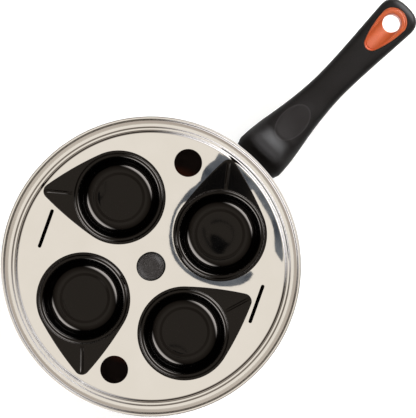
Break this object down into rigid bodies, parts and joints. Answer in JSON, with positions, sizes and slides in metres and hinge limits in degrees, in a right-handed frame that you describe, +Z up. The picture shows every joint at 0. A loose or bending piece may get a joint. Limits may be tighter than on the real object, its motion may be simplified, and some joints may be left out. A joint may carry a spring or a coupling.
{
  "type": "egg poacher pan",
  "caption": "Steel pan with a moulded handle, and a lift-out tray of non-stick egg cups with a lifting knob.",
  "frame": {"origin": "middle of the underside of the base", "axes": "+Z up out of the pan, +X from the middle of the pan along the handle"},
  "size_m": [0.3587, 0.21, 0.0728],
  "materials": {
    "polished_steel": "polished",
    "aluminium_core": "satin",
    "brushed_steel": "brushed",
    "handle_black": "matte",
    "insert_orange": "satin",
    "knob_black": "satin",
    "brass": "machined",
    "non_stick": "gloss non-stick coating"
  },
  "bodies": {
    "pan": {"pan_shell": "polished_steel", "base_core": "aluminium_core", "base_cap": "brushed_steel", "handle_bracket": "brushed_steel", "handle_grip": "handle_black", "hang_insert": "insert_orange", "handle_nut": "brushed_steel", "handle_washer": "brushed_steel", "handle_screw": "brushed_steel"},
    "tray": {"poaching_tray": "polished_steel", "tray_knob": "knob_black", "knob_bush": "brass", "knob_washer": "brushed_steel", "knob_screw": "brushed_steel"},
    "cup_1": {"egg_cup_1": "non_stick"},
    "cup_2": {"egg_cup_2": "non_stick"},
    "cup_3": {"egg_cup_3": "non_stick"},
    "cup_4": {"egg_cup_4": "non_stick"}
  },
  "joints": [
    {"name": "tray_lift", "type": "slide", "parent": "pan", "child": "tray", "axis": [0, 0, 1], "range_m": [0, 0.08]},
    {"name": "cup_1_lift", "type": "slide", "parent": "tray", "child": "cup_1", "axis": [0, 0, 1], "range_m": [0, 0.06]},
    {"name": "cup_2_lift", "type": "slide", "parent": "tray", "child": "cup_2", "axis": [0, 0, 1], "range_m": [0, 0.06]},
    {"name": "cup_3_lift", "type": "slide", "parent": "tray", "child": "cup_3", "axis": [0, 0, 1], "range_m": [0, 0.06]},
    {"name": "cup_4_lift", "type": "slide", "parent": "tray", "child": "cup_4", "axis": [0, 0, 1], "range_m": [0, 0.06]}
  ]
}
